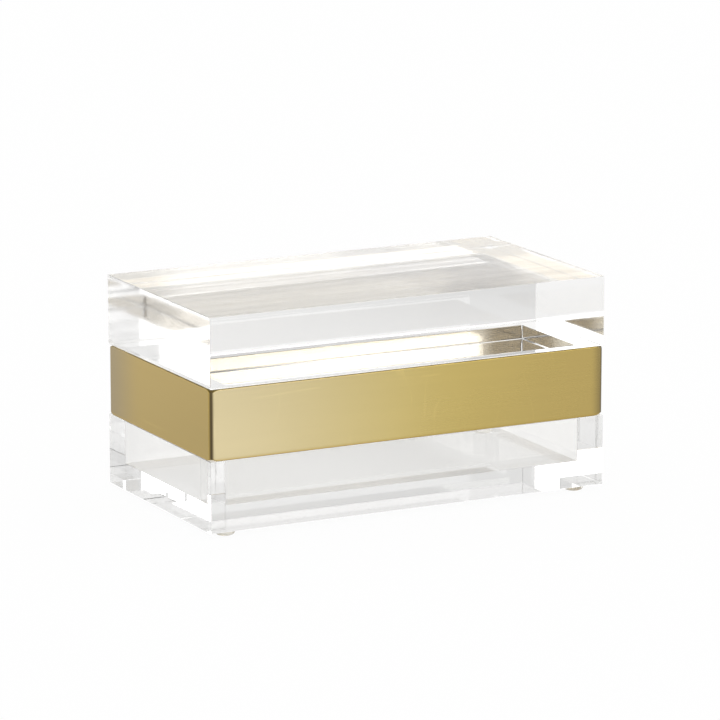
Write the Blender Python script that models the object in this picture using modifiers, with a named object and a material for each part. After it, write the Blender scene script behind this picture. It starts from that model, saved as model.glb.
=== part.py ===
"""Clear acrylic box with a brass frame and a lift-off lid, as separate pieces.

A tray of glued acrylic plates carries a mitred frame of rectangular brass tube. The lid is a solid
acrylic block, and the locating plate glued under it drops into the frame. Metres, +Z up. The origin
is on the table, under the middle of the box.
"""

from math import cos, pi, sin, sqrt

import bmesh
import bpy
from mathutils import Matrix, Vector

# The whole box
BOX_WIDTH = 0.2032
BOX_DEPTH = 0.1094
WALL_THICKNESS = 0.0103
SEAT_GAP = 0.0003

# Acrylic tray
TRAY_HEIGHT = 0.0332
FLOOR_THICKNESS = 0.011
ACRYLIC_EASE = 0.0005

# Brass frame: its tube is as wide as the tray's walls are thick
RAIL_HEIGHT = 0.0325
TUBE_WALL = 0.0015
FRAME_CORNER_RADIUS = 0.0024
FRAME_EASE = 0.0004

# Lid
LID_THICKNESS = 0.0331
PLATE_THICKNESS = 0.00635
PLATE_CLEARANCE = 0.0008

# Bumper feet, turned with a flat top, a short rim and a dome that ends in a flat tip
FOOT_DIAMETER = 0.0098
FOOT_TIP_DIAMETER = 0.0054
FOOT_HEIGHT = 0.0029
FOOT_RIM = 0.0006
FOOT_SIDE_INSET = 0.0108
FOOT_END_INSET = 0.0084

# Cutters reach past what they cut by this much
OVERRUN = 0.004

# How finely the round shapes are cut into flat faces
EASE_SEGMENTS = 2
CORNER_SEGMENTS = 8
DOME_SEGMENTS = 7
TURN_STEPS = 36
WELD_DISTANCE = 1e-6
SHARP_ANGLE = pi / 6

# Heights of the pieces' undersides
TRAY_BASE = FOOT_HEIGHT + SEAT_GAP
FRAME_BASE = TRAY_BASE + TRAY_HEIGHT + SEAT_GAP
LID_BASE = FRAME_BASE + RAIL_HEIGHT + SEAT_GAP
PLATE_BASE = LID_BASE - SEAT_GAP - PLATE_THICKNESS

# Plan of the inside, between the walls
INNER_WIDTH = BOX_WIDTH - 2 * WALL_THICKNESS
INNER_DEPTH = BOX_DEPTH - 2 * WALL_THICKNESS

SIDES = {
    "left": Vector((-1, 0, 0)),
    "right": Vector((1, 0, 0)),
    "front": Vector((0, -1, 0)),
    "back": Vector((0, 1, 0)),
    "bottom": Vector((0, 0, -1)),
    "top": Vector((0, 0, 1)),
}


def clear_scene():
    """Removes every object and every collection, so that the model is alone in the file."""
    for thing in list(bpy.data.objects):
        bpy.data.objects.remove(thing, do_unlink=True)
    for group in list(bpy.data.collections):
        bpy.data.collections.remove(group)


def new_collection(name):
    group = bpy.data.collections.new(name)
    bpy.context.scene.collection.children.link(group)
    return group


def new_material(name, colour, roughness, metallic=0.0, transmission=0.0, ior=1.49):
    """A Principled material. A clear one lets light through and is drawn half transparent."""
    material = bpy.data.materials.new(name)
    material.use_nodes = True
    shader = material.node_tree.nodes["Principled BSDF"]
    shader.inputs["Base Color"].default_value = (*colour, 1)
    shader.inputs["Roughness"].default_value = roughness
    shader.inputs["Metallic"].default_value = metallic
    shader.inputs["Transmission Weight"].default_value = transmission
    shader.inputs["IOR"].default_value = ior
    material.diffuse_color = (*colour, 1 - transmission / 2)
    return material


def new_empty(name, height, group):
    """An empty on the box's vertical centre line, which is the line that the lid lifts along."""
    empty = bpy.data.objects.new(name, None)
    empty.location.z = height
    group.objects.link(empty)
    return empty


def new_object(name, mesh, material, parent, centre, group):
    """An object of this mesh, carried by the parent empty, with its origin at centre."""
    if not mesh.materials:
        mesh.materials.append(material)
    piece = bpy.data.objects.new(name, mesh)
    piece.parent = parent
    piece.location = Vector(centre) - parent.location
    group.objects.link(piece)
    return piece


def side_facing(normal):
    return max(SIDES, key=lambda side: normal.dot(SIDES[side]))


def acrylic_plate(name, size, exposed):
    """A sawn plate, centred on its origin. An edge is eased where both its sides are exposed."""
    bm = bmesh.new()
    bmesh.ops.create_cube(bm, size=1, matrix=Matrix.Diagonal((*size, 1)))
    eased = []
    for edge in bm.edges:
        sides = {side_facing(face.normal) for face in edge.link_faces}
        if sides <= set(exposed):
            eased.append(edge)
    if eased:
        bmesh.ops.bevel(
            bm,
            geom=eased,
            offset=ACRYLIC_EASE,
            segments=EASE_SEGMENTS,
            profile=0.5,
            affect="EDGES",
            material=-1,
        )
    mesh = bpy.data.meshes.new(name)
    bm.to_mesh(mesh)
    bm.free()
    return mesh


def rounded_rectangle(width, depth, radius):
    """Points round a rectangle that is centred on the origin, its corners as arcs."""
    if radius <= 0:
        return [
            (-width / 2, -depth / 2),
            (width / 2, -depth / 2),
            (width / 2, depth / 2),
            (-width / 2, depth / 2),
        ]
    points = []
    for corner, (across, along) in enumerate([(1, 1), (-1, 1), (-1, -1), (1, -1)]):
        middle_x = across * (width / 2 - radius)
        middle_y = along * (depth / 2 - radius)
        for step in range(CORNER_SEGMENTS + 1):
            angle = pi / 2 * (corner + step / CORNER_SEGMENTS)
            points.append((middle_x + radius * cos(angle), middle_y + radius * sin(angle)))
    return points


def outline_mesh(name, outlines, height):
    """A flat plate of this height, centred on its origin, filled between the outlines."""
    curve = bpy.data.curves.new(name, "CURVE")
    curve.dimensions = "2D"
    curve.fill_mode = "BOTH"
    curve.extrude = height / 2
    for outline in outlines:
        spline = curve.splines.new("POLY")
        spline.points.add(len(outline) - 1)
        spline.use_cyclic_u = True
        for point, (x, y) in zip(spline.points, outline):
            point.co = (x, y, 0, 1)
    guide = bpy.data.objects.new(name, curve)
    bpy.context.scene.collection.objects.link(guide)
    bpy.context.view_layer.update()
    graph = bpy.context.evaluated_depsgraph_get()
    mesh = bpy.data.meshes.new_from_object(guide.evaluated_get(graph))
    bpy.data.objects.remove(guide, do_unlink=True)

    bm = bmesh.new()
    bm.from_mesh(mesh)
    bmesh.ops.remove_doubles(bm, verts=bm.verts, dist=WELD_DISTANCE)
    bmesh.ops.recalc_face_normals(bm, faces=bm.faces)
    bm.to_mesh(mesh)
    bm.free()
    mesh.shade_smooth()
    mesh.set_sharp_from_angle(angle=SHARP_ANGLE)
    return mesh


def ring_mesh(name, wall, inset):
    """The frame's plan as a ring. An inset draws its outside in, its opening out and its faces in."""
    outer = rounded_rectangle(
        BOX_WIDTH - 2 * inset,
        BOX_DEPTH - 2 * inset,
        FRAME_CORNER_RADIUS - inset,
    )
    opening = rounded_rectangle(
        BOX_WIDTH - 2 * (wall - inset),
        BOX_DEPTH - 2 * (wall - inset),
        0,
    )
    return outline_mesh(name, [outer, opening], RAIL_HEIGHT - 2 * inset)


def mitre_outline(length, depth):
    """The front rail's share of the ring: a trapezoid whose ends run at 45 degrees to the corners.

    Each end stands back from the mitre line, so that two rails leave the seat gap between them.
    """
    setback = SEAT_GAP / 2 * sqrt(2)
    near = OVERRUN
    far = -WALL_THICKNESS - OVERRUN
    outside = -depth / 2
    return [
        (-length / 2 - near + setback, outside - near),
        (length / 2 + near - setback, outside - near),
        (length / 2 + far - setback, outside - far),
        (-length / 2 - far + setback, outside - far),
    ]


def hidden_cutter(name, mesh, height, turn, group):
    cutter = bpy.data.objects.new(name, mesh)
    cutter.location.z = height
    cutter.rotation_euler.z = turn
    cutter.hide_render = True
    cutter.display_type = "WIRE"
    group.objects.link(cutter)
    return cutter


def add_boolean(piece, cutter, operation):
    modifier = piece.modifiers.new(cutter.name, "BOOLEAN")
    modifier.operation = operation
    modifier.object = cutter
    modifier.solver = "EXACT"


def foot_mesh(name):
    """The profile of a bumper foot, from its flat top down to its tip, with the tip's middle at 0."""
    rim_radius = FOOT_DIAMETER / 2
    tip_radius = FOOT_TIP_DIAMETER / 2
    dome_height = FOOT_HEIGHT - FOOT_RIM
    profile = [(0, FOOT_HEIGHT), (rim_radius, FOOT_HEIGHT)]
    for step in range(DOME_SEGMENTS + 1):
        angle = pi / 2 * step / DOME_SEGMENTS
        across = tip_radius + (rim_radius - tip_radius) * cos(angle)
        profile.append((across, dome_height * (1 - sin(angle))))
    profile.append((0, 0))
    bm = bmesh.new()
    points = [bm.verts.new((across, 0, height)) for across, height in profile]
    for upper, lower in zip(points, points[1:]):
        bm.edges.new((upper, lower))
    mesh = bpy.data.meshes.new(name)
    bm.to_mesh(mesh)
    bm.free()
    return mesh


def build_tray(parent, group, acrylic):
    """The front and back walls run the full width, and the side walls and the floor fit between them."""
    middle = TRAY_BASE + TRAY_HEIGHT / 2
    long_wall = (BOX_WIDTH, WALL_THICKNESS, TRAY_HEIGHT)
    short_wall = (WALL_THICKNESS, INNER_DEPTH - 2 * SEAT_GAP, TRAY_HEIGHT)
    across = (BOX_WIDTH - WALL_THICKNESS) / 2
    along = (BOX_DEPTH - WALL_THICKNESS) / 2

    for side in ("front", "back"):
        name = f"tray_wall_{side}"
        mesh = acrylic_plate(name, long_wall, (side, "left", "right", "bottom", "top"))
        new_object(name, mesh, acrylic, parent, (0, along * SIDES[side].y, middle), group)
    for side in ("left", "right"):
        name = f"tray_wall_{side}"
        mesh = acrylic_plate(name, short_wall, (side, "bottom", "top"))
        new_object(name, mesh, acrylic, parent, (across * SIDES[side].x, 0, middle), group)

    floor = (INNER_WIDTH - 2 * SEAT_GAP, INNER_DEPTH - 2 * SEAT_GAP, FLOOR_THICKNESS)
    mesh = acrylic_plate("tray_floor", floor, ())
    centre = (0, 0, TRAY_BASE + FLOOR_THICKNESS / 2)
    new_object("tray_floor", mesh, acrylic, parent, centre, group)


def build_frame(parent, group, cutters, brass):
    """Four mitred lengths of rectangular tube, which share one ring that is cut at its corners."""
    middle = FRAME_BASE + RAIL_HEIGHT / 2
    ring = ring_mesh("frame_ring", WALL_THICKNESS, 0)
    bore = ring_mesh("tube_bore", WALL_THICKNESS, TUBE_WALL)
    bore_cutter = hidden_cutter("cut_tube_bore", bore, middle, 0, cutters)
    plans = {
        "front": (BOX_WIDTH, BOX_DEPTH, 0),
        "right": (BOX_DEPTH, BOX_WIDTH, pi / 2),
        "back": (BOX_WIDTH, BOX_DEPTH, pi),
        "left": (BOX_DEPTH, BOX_WIDTH, -pi / 2),
    }
    for side, (length, depth, turn) in plans.items():
        plan = mitre_outline(length, depth)
        mitre = outline_mesh(f"mitre_{side}", [plan], RAIL_HEIGHT + 2 * OVERRUN)
        mitre_cutter = hidden_cutter(f"cut_mitre_{side}", mitre, middle, turn, cutters)
        rail = new_object(f"frame_rail_{side}", ring, brass, parent, (0, 0, middle), group)
        ease = rail.modifiers.new("eased edges", "BEVEL")
        ease.width = FRAME_EASE
        ease.segments = EASE_SEGMENTS
        ease.limit_method = "ANGLE"
        ease.angle_limit = SHARP_ANGLE
        add_boolean(rail, mitre_cutter, "INTERSECT")
        add_boolean(rail, bore_cutter, "DIFFERENCE")


def build_feet(parent, group, rubber):
    """Four turned bumper feet, stuck under the tray near its corners."""
    across = BOX_WIDTH / 2 - FOOT_SIDE_INSET
    along = BOX_DEPTH / 2 - FOOT_END_INSET
    mesh = foot_mesh("bumper_foot")
    for end in ("front", "back"):
        for side in ("left", "right"):
            place = (across * SIDES[side].x, along * SIDES[end].y, 0)
            name = f"bumper_foot_{end}_{side}"
            foot = new_object(name, mesh, rubber, parent, place, group)
            turned = foot.modifiers.new("turned", "SCREW")
            turned.axis = "Z"
            turned.angle = 2 * pi
            turned.steps = TURN_STEPS
            turned.render_steps = TURN_STEPS
            turned.use_merge_vertices = True
            turned.merge_threshold = WELD_DISTANCE
            turned.use_smooth_shade = True


def build_lid(parent, group, acrylic):
    """The solid block covers the frame, and its plate fits the frame's opening with clearance."""
    block = acrylic_plate("lid_block", (BOX_WIDTH, BOX_DEPTH, LID_THICKNESS), SIDES)
    centre = (0, 0, LID_BASE + LID_THICKNESS / 2)
    new_object("lid_block", block, acrylic, parent, centre, group)

    size = (
        INNER_WIDTH - 2 * PLATE_CLEARANCE,
        INNER_DEPTH - 2 * PLATE_CLEARANCE,
        PLATE_THICKNESS,
    )
    exposed = ("left", "right", "front", "back", "bottom")
    plate = acrylic_plate("lid_locating_plate", size, exposed)
    centre = (0, 0, PLATE_BASE + PLATE_THICKNESS / 2)
    new_object("lid_locating_plate", plate, acrylic, parent, centre, group)


def main():
    clear_scene()
    group = new_collection("acrylic_box")
    cutters = new_collection("cutters")
    acrylic = new_material("clear_acrylic", (0.96, 0.97, 0.96), 0.03, transmission=1)
    brass = new_material("brushed_brass", (0.80, 0.69, 0.45), 0.32, metallic=1)
    rubber = new_material("clear_bumper", (0.80, 0.78, 0.72), 0.25, transmission=0.6)

    base = new_empty("tray_and_frame", 0, group)
    lid = new_empty("lid_lift_line", LID_BASE, group)
    build_tray(base, group, acrylic)
    build_frame(base, group, cutters, brass)
    build_feet(base, group, rubber)
    build_lid(lid, group, acrylic)


main()
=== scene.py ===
"""The look of a clear acrylic box with a brushed brass band and a lift-off lid.

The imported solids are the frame. Each sub-assembly below takes its place from them, builds its own
finished piece round them and dresses it: the tray and the lid as single welded blocks of clear
acrylic with the seams of their glued joints, the band as one brushed ring, and the bumper feet.
"""

import logging
import math
from dataclasses import dataclass
from enum import Enum

import bmesh
import bpy
from mathutils import Matrix, Vector


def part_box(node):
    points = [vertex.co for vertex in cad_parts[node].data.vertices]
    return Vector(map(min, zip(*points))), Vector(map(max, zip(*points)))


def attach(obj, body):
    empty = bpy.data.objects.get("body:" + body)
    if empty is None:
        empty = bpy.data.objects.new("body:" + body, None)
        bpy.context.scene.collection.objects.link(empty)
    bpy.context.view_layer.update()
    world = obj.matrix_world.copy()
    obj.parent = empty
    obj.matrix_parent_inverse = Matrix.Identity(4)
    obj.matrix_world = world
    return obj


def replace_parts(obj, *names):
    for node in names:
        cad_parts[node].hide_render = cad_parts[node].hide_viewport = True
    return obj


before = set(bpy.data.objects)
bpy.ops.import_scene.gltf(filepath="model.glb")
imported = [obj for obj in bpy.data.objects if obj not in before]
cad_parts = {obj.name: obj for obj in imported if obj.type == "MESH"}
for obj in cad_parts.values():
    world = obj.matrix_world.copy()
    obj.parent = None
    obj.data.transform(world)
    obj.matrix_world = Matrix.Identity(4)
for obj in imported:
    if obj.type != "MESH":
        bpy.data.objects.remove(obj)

Socket = bpy.types.NodeSocket
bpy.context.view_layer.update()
EDGE_MARK = "edge"
WHITE = (1, 1, 1, 1)
# How faces and edges are told apart: an area, two reaches in metres, two cosines and an angle in radians.
BROAD_FACE = 0.0002
MERGE_REACH = 0.0000001
HEIGHT_SLACK = 0.000001
SQUARE_ON = 0.99
QUITE_SQUARE = 0.9999
SHARP_TURN = 0.5
log = logging.getLogger("acrylic_box")


class Body(Enum):
    """The two bodies that pieces ride on."""

    BOX = "box"
    LID = "lid"


class Slot(Enum):
    """The record's material slots."""

    ACRYLIC = "clear_acrylic"
    BRASS = "brushed_brass"
    BUMPER = "clear_bumper"


class Side(Enum):
    """The four upright sides, as the way each one faces in plan."""

    LEFT = (-1, 0)
    RIGHT = (1, 0)
    FRONT = (0, -1)
    BACK = (0, 1)


class MixKind(Enum):
    """What a Mix node mixes, with the numbers of its A, B and result, whose names the kinds share."""

    VECTOR = (4, 5, 1)
    RGBA = (6, 7, 2)


@dataclass(frozen=True)
class Extent:
    """An upright block of space, by its lowest and highest corners in metres."""

    low: Vector
    high: Vector

    @classmethod
    def of_nodes(cls, *nodes: str) -> "Extent":
        """Finds the space that some nodes of the frame take at rest.

        Args:
            *nodes: The nodes' names.

        Returns:
            The block that holds them all.
        """
        corners = [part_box(node) for node in nodes]
        low = Vector(min(corner[0][axis] for corner in corners) for axis in range(3))
        high = Vector(max(corner[1][axis] for corner in corners) for axis in range(3))
        return cls(low, high)

    @property
    def size(self) -> Vector:
        """Its width, depth and height."""
        return self.high - self.low

    @property
    def centre(self) -> Vector:
        """The point in its middle."""
        return (self.low + self.high) / 2


def block_mesh(extent: Extent) -> bmesh.types.BMesh:
    """Starts a mesh as a sharp block.

    Args:
        extent: The space that the block fills.

    Returns:
        A new bmesh with the block's six faces.
    """
    bm = bmesh.new()
    place = Matrix.Translation(extent.centre) @ Matrix.Diagonal((*extent.size, 1))
    bmesh.ops.create_cube(bm, size=1, matrix=place)
    return bm


def faces_towards(bm: bmesh.types.BMesh, way: Vector) -> list:
    """The faces of the mesh that look along a way, given as a vector of length 1."""
    bm.normal_update()
    return [face for face in bm.faces if face.normal.dot(way) > SQUARE_ON]


def step_face(bm: bmesh.types.BMesh, faces: list, inset: float, height: float) -> None:
    """Raises or sinks the middle of flat faces, leaving a level rim round it.

    Args:
        bm: The mesh.
        faces: Faces that look straight up or down.
        inset: The rim's width.
        height: How far up the middle moves, negative for down.
    """
    bmesh.ops.inset_individual(bm, faces=faces, thickness=inset, use_even_offset=True)
    moved = bmesh.ops.extrude_discrete_faces(bm, faces=faces)["faces"]
    corners = {corner for face in moved for corner in face.verts}
    bmesh.ops.translate(bm, verts=list(corners), vec=Vector((0, 0, height)))


def round_edges(bm: bmesh.types.BMesh, edges: list, radius: float, segments: int) -> None:
    """Rounds these edges over.

    Args:
        bm: The mesh.
        edges: The edges to round.
        radius: How far the round reaches from each edge.
        segments: The flat strips that make up the round.
    """
    bmesh.ops.bevel(
        bm,
        geom=edges,
        offset=radius,
        segments=segments,
        profile=0.5,
        affect="EDGES",
        material=-1,
    )


def outward_edges(bm: bmesh.types.BMesh) -> list:
    """The sharp edges where the solid sticks out, leaving out its inside corners."""
    bm.normal_update()
    return [edge for edge in bm.edges if edge.is_convex and edge.calc_face_angle(0) > SHARP_TURN]


def finished_piece(
    name: str,
    bm: bmesh.types.BMesh,
    material: bpy.types.Material,
    body: Body,
) -> bpy.types.Object:
    """Makes the mesh an object at the origin that rides on its body.

    Broad faces, and those that lie along the box's axes, stay flat. All others are shaded smooth and
    marked as edges, unless the mesh comes with edge marks of its own.

    Args:
        name: The piece's name.
        bm: Its mesh, which is freed.
        material: Its finish.
        body: The body that carries it.

    Returns:
        The new object.
    """
    bmesh.ops.remove_doubles(bm, verts=bm.verts, dist=MERGE_REACH)
    bmesh.ops.recalc_face_normals(bm, faces=bm.faces)
    marked = EDGE_MARK in bm.faces.layers.float
    mark = bm.faces.layers.float[EDGE_MARK] if marked else bm.faces.layers.float.new(EDGE_MARK)
    for face in bm.faces:
        square = max(abs(part) for part in face.normal) > QUITE_SQUARE
        face.smooth = not square and face.calc_area() < BROAD_FACE
        if not marked:
            face[mark] = float(face.smooth)
    mesh = bpy.data.meshes.new(name)
    bm.to_mesh(mesh)
    bm.free()
    mesh.materials.append(material)
    piece = bpy.data.objects.new(name, mesh)
    bpy.context.scene.collection.objects.link(piece)
    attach(piece, body.value)
    log.info("%s: %d faces, rides on %s", name, len(mesh.polygons), body.value)
    return piece


class Wiring:
    """Adds nodes to one node tree and joins them."""

    def __init__(self, tree: bpy.types.NodeTree) -> None:
        """Starts on a tree, which may already hold nodes."""
        self.tree = tree

    def node(self, kind: str, **inputs: object) -> bpy.types.Node:
        """Adds a node.

        Args:
            kind: The node's type.
            **inputs: Its inputs by name, with underscores for spaces: a value or a socket.

        Returns:
            The new node.
        """
        made = self.tree.nodes.new(kind)
        for name, value in inputs.items():
            self.feed(made, name.replace("_", " "), value)
        return made

    def feed(self, node: bpy.types.Node, name: object, value: object) -> None:
        """Gives a node's input a value, or joins a socket to it.

        Args:
            node: The node.
            name: The input's name or place.
            value: The value or the socket.
        """
        if isinstance(value, Socket):
            self.tree.links.new(value, node.inputs[name])
        else:
            node.inputs[name].default_value = value

    def maths(
        self,
        operation: str,
        first: object,
        second: object = 0.0,
        kind: str = "ShaderNodeMath",
    ) -> Socket:
        """Works a number out from two numbers or two vectors.

        Args:
            operation: The node's operation.
            first: A socket, or a plain value.
            second: Another one, which some operations leave out.
            kind: The node's type, which is ShaderNodeVectorMath for two vectors.

        Returns:
            The number.
        """
        made = self.tree.nodes.new(kind)
        made.operation = operation
        self.feed(made, 0, first)
        self.feed(made, 1, second)
        return made.outputs["Value"]

    def remap(
        self,
        value: Socket,
        lowest: object,
        highest: object,
        start: object = 0.0,
        end: object = 1.0,
    ) -> Socket:
        """Takes a value smoothly from one range to another, and holds it at the ends.

        Args:
            value: The value.
            lowest: Where its own range starts.
            highest: Where its own range ends.
            start: The result at the lowest value and below.
            end: The result at the highest value and above.

        Returns:
            The result.
        """
        made = self.tree.nodes.new("ShaderNodeMapRange")
        made.interpolation_type = "SMOOTHSTEP"
        ends = {"Value": value, "From Min": lowest, "From Max": highest, "To Min": start, "To Max": end}
        for name, part in ends.items():
            self.feed(made, name, part)
        return made.outputs[0]

    def plus(self, value: object, part: Socket, share: object) -> Socket:
        """The value with a share of another part added."""
        return self.maths("ADD", value, self.maths("MULTIPLY", part, share))

    def less(self, value: object, part: Socket, share: object) -> Socket:
        """The value with a share of another part taken away."""
        return self.maths("SUBTRACT", value, self.maths("MULTIPLY", part, share))

    def facing(self, normal: Socket, axis: int) -> Socket:
        """How squarely the surface looks along an axis, either way, from 0 to 1."""
        return self.maths("ABSOLUTE", self.split(normal)[axis])

    def noise(self, vector: Socket, scale: object, detail: float) -> Socket:
        """A Noise Texture's grey value, which lies round a half."""
        return self.node("ShaderNodeTexNoise", Vector=vector, Scale=scale, Detail=detail).outputs["Fac"]

    def mapped(self, vector: Socket, turn: tuple = (0.0, 0.0, 0.0), scale: tuple = (1.0, 1.0, 1.0)) -> Socket:
        """The vector turned by Euler angles in radians, then stretched."""
        return self.node("ShaderNodeMapping", Vector=vector, Rotation=turn, Scale=scale).outputs[0]

    def mixed(self, share: object, first: object, second: object, kind: MixKind = MixKind.RGBA) -> Socket:
        """Mixes two colours or two vectors.

        Args:
            share: How much of the second, from 0 to 1.
            first: A socket, or a plain colour.
            second: Another one.
            kind: What the two are.

        Returns:
            The mix.
        """
        made = self.tree.nodes.new("ShaderNodeMix")
        made.data_type = kind.name
        first_place, second_place, result = kind.value
        for place, value in ((0, share), (first_place, first), (second_place, second)):
            self.feed(made, place, (*value, 1) if isinstance(value, tuple) else value)
        return made.outputs[result]

    def split(self, vector: Socket) -> tuple:
        """The three parts of a vector."""
        return tuple(self.node("ShaderNodeSeparateXYZ", Vector=vector).outputs)

    def joined(self, *parts: object) -> Socket:
        """Joins three values to a vector.

        Args:
            *parts: The three values, as sockets or numbers.

        Returns:
            The vector.
        """
        made = self.tree.nodes.new("ShaderNodeCombineXYZ")
        for place, part in enumerate(parts):
            self.feed(made, place, part)
        return made.outputs[0]

    def edge(self) -> Socket:
        """Reads the piece's own mark.

        Returns:
            The mark: up to 1 on the narrow faces along its edges and 0 elsewhere.
        """
        made = self.tree.nodes.new("ShaderNodeAttribute")
        made.attribute_name = EDGE_MARK
        return made.outputs["Fac"]

    def bump(self, height: Socket, depth: float) -> Socket:
        """The surface's direction over a relief whose height 1 is this depth in metres."""
        return self.node("ShaderNodeBump", Height=height, Strength=1.0, Distance=depth).outputs[0]


def blank_material(name: str) -> tuple:
    """Starts a material.

    Args:
        name: Its name.

    Returns:
        The material, its wiring and its Principled shader.
    """
    material = bpy.data.materials.new(name)
    material.use_nodes = True
    return material, Wiring(material.node_tree), material.node_tree.nodes["Principled BSDF"]


class SurfaceEffects:
    """The node groups that several finishes share, each built when it is first asked for."""

    def __init__(self) -> None:
        """Starts with no group built."""
        self.built = {}
        self.builders = {
            "smudges": self.smudges,
            "hairlines": self.hairlines,
            "waves": self.waves,
            "edge_wear": self.edge_wear,
            "brushing": self.brushing,
        }

    def group(self, name: str, inputs: dict, outputs: tuple) -> tuple:
        """Starts a node group.

        Args:
            name: The group's name.
            inputs: The socket type of each input, by the input's name.
            outputs: The names of its outputs, each one a grey value.

        Returns:
            The sockets of its inputs by name, its output node and its wiring.
        """
        tree = bpy.data.node_groups.new(name, "ShaderNodeTree")
        for socket, kind in inputs.items():
            tree.interface.new_socket(name=socket, in_out="INPUT", socket_type=kind)
        for socket in outputs:
            tree.interface.new_socket(name=socket, in_out="OUTPUT", socket_type="NodeSocketFloat")
        wiring = Wiring(tree)
        start = wiring.node("NodeGroupInput")
        end = wiring.node("NodeGroupOutput")
        self.built[name] = tree
        return {socket: start.outputs[socket] for socket in inputs}, end, wiring

    def place(self, wiring: Wiring, name: str, **inputs: object) -> bpy.types.Node:
        """Places one of the groups in a material.

        Args:
            wiring: The material's wiring.
            name: The group's name, which is also the name of the method that builds it.
            **inputs: Its inputs by name, with underscores for spaces.

        Returns:
            The group's node.
        """
        if name not in self.built:
            self.builders[name]()
        made = wiring.tree.nodes.new("ShaderNodeGroup")
        made.node_tree = self.built[name]
        for socket, value in inputs.items():
            wiring.feed(made, socket.replace("_", " "), value)
        return made

    def mask(self, wiring: Wiring, name: str, point: Socket, **inputs: object) -> Socket:
        """Places a group that has one output at a point, and gives that output."""
        return self.place(wiring, name, Vector=point, **inputs).outputs[0]

    def smudges(self) -> None:
        """Soft patches that handling and wiping leave: a higher Cover spreads them over more of the face."""
        sockets = {"Vector": "NodeSocketVector", "Scale": "NodeSocketFloat", "Cover": "NodeSocketFloat"}
        place_scale, patch_share = 0.31, 0.45
        bare_start, cover_reach, fade = 0.64, 0.28, 0.16
        given, end, wiring = self.group("smudges", sockets, ("Mask",))
        patches = wiring.noise(given["Vector"], given["Scale"], detail=5.0)
        broader = wiring.maths("MULTIPLY", given["Scale"], place_scale)
        places = wiring.noise(given["Vector"], broader, detail=2.0)
        both = wiring.plus(wiring.maths("MULTIPLY", patches, patch_share), places, 1 - patch_share)
        start = wiring.less(bare_start, given["Cover"], cover_reach)
        wiring.feed(end, "Mask", wiring.remap(both, start, wiring.maths("ADD", start, fade)))

    def hairlines(self) -> None:
        """Fine broken scratches in two directions: a higher Width makes them wider."""
        sockets = {"Vector": "NodeSocketVector", "Scale": "NodeSocketFloat", "Width": "NodeSocketFloat"}
        turns_and_stretches = (((0.5, 0.3, 0.7), (1.0, 0.07, 0.4)), ((1.1, -0.6, 2.3), (0.09, 1.0, 0.5)))
        middle_value, part_scale = 0.5, 0.6
        part_start, part_full = 0.54, 0.64
        given, end, wiring = self.group("hairlines", sockets, ("Mask",))
        lines = []
        for turn, stretch in turns_and_stretches:
            along = wiring.mapped(given["Vector"], turn, stretch)
            value = wiring.noise(along, given["Scale"], detail=1.0)
            away = wiring.maths("ABSOLUTE", wiring.maths("SUBTRACT", value, middle_value))
            lines.append(wiring.remap(away, 0.0, given["Width"], 1.0, 0.0))
        broader = wiring.maths("MULTIPLY", given["Scale"], part_scale)
        part = wiring.noise(given["Vector"], broader, detail=2.0)
        shown = wiring.remap(part, part_start, part_full)
        wiring.feed(end, "Mask", wiring.maths("MULTIPLY", wiring.maths("MAXIMUM", *lines), shown))

    def waves(self) -> None:
        """The slow swells that polishing, pressing or rolling leave in a surface."""
        sockets = {"Vector": "NodeSocketVector", "Scale": "NodeSocketFloat"}
        quick_scale, quick_share = 2.7, 0.22
        given, end, wiring = self.group("waves", sockets, ("Height",))
        slow = wiring.noise(given["Vector"], given["Scale"], detail=0.0)
        finer = wiring.maths("MULTIPLY", given["Scale"], quick_scale)
        quick = wiring.noise(given["Vector"], finer, detail=1.0)
        wiring.feed(end, "Height", wiring.plus(slow, quick, quick_share))

    def edge_wear(self) -> None:
        """Where the marked edges are rubbed: a higher Cover rubs more of their length."""
        sockets = {
            "Vector": "NodeSocketVector",
            "Edge": "NodeSocketFloat",
            "Scale": "NodeSocketFloat",
            "Cover": "NodeSocketFloat",
        }
        bare_start, cover_reach, fade = 0.66, 0.4, 0.12
        given, end, wiring = self.group("edge_wear", sockets, ("Mask",))
        value = wiring.noise(given["Vector"], given["Scale"], detail=3.0)
        start = wiring.less(bare_start, given["Cover"], cover_reach)
        rubbed = wiring.remap(value, start, wiring.maths("ADD", start, fade))
        wiring.feed(end, "Mask", wiring.maths("MULTIPLY", rubbed, given["Edge"]))

    def brushing(self) -> None:
        """Straight fine lines along X, Spacing apart and about Length long, with broader streaks."""
        sockets = {"Vector": "NodeSocketVector", "Spacing": "NodeSocketFloat", "Length": "NodeSocketFloat"}
        streak_spacing = 7.0
        given, end, wiring = self.group("brushing", sockets, ("Lines", "Streaks"))
        along, across, up = wiring.split(given["Vector"])
        run = wiring.maths("DIVIDE", along, given["Length"])
        for output, wider, detail in (("Lines", 1.0, 3.0), ("Streaks", streak_spacing, 2.0)):
            step = wiring.maths("MULTIPLY", given["Spacing"], wider)
            field = wiring.joined(run, wiring.maths("DIVIDE", across, step), wiring.maths("DIVIDE", up, step))
            wiring.feed(end, output, wiring.noise(field, scale=1.0, detail=detail))


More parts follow.
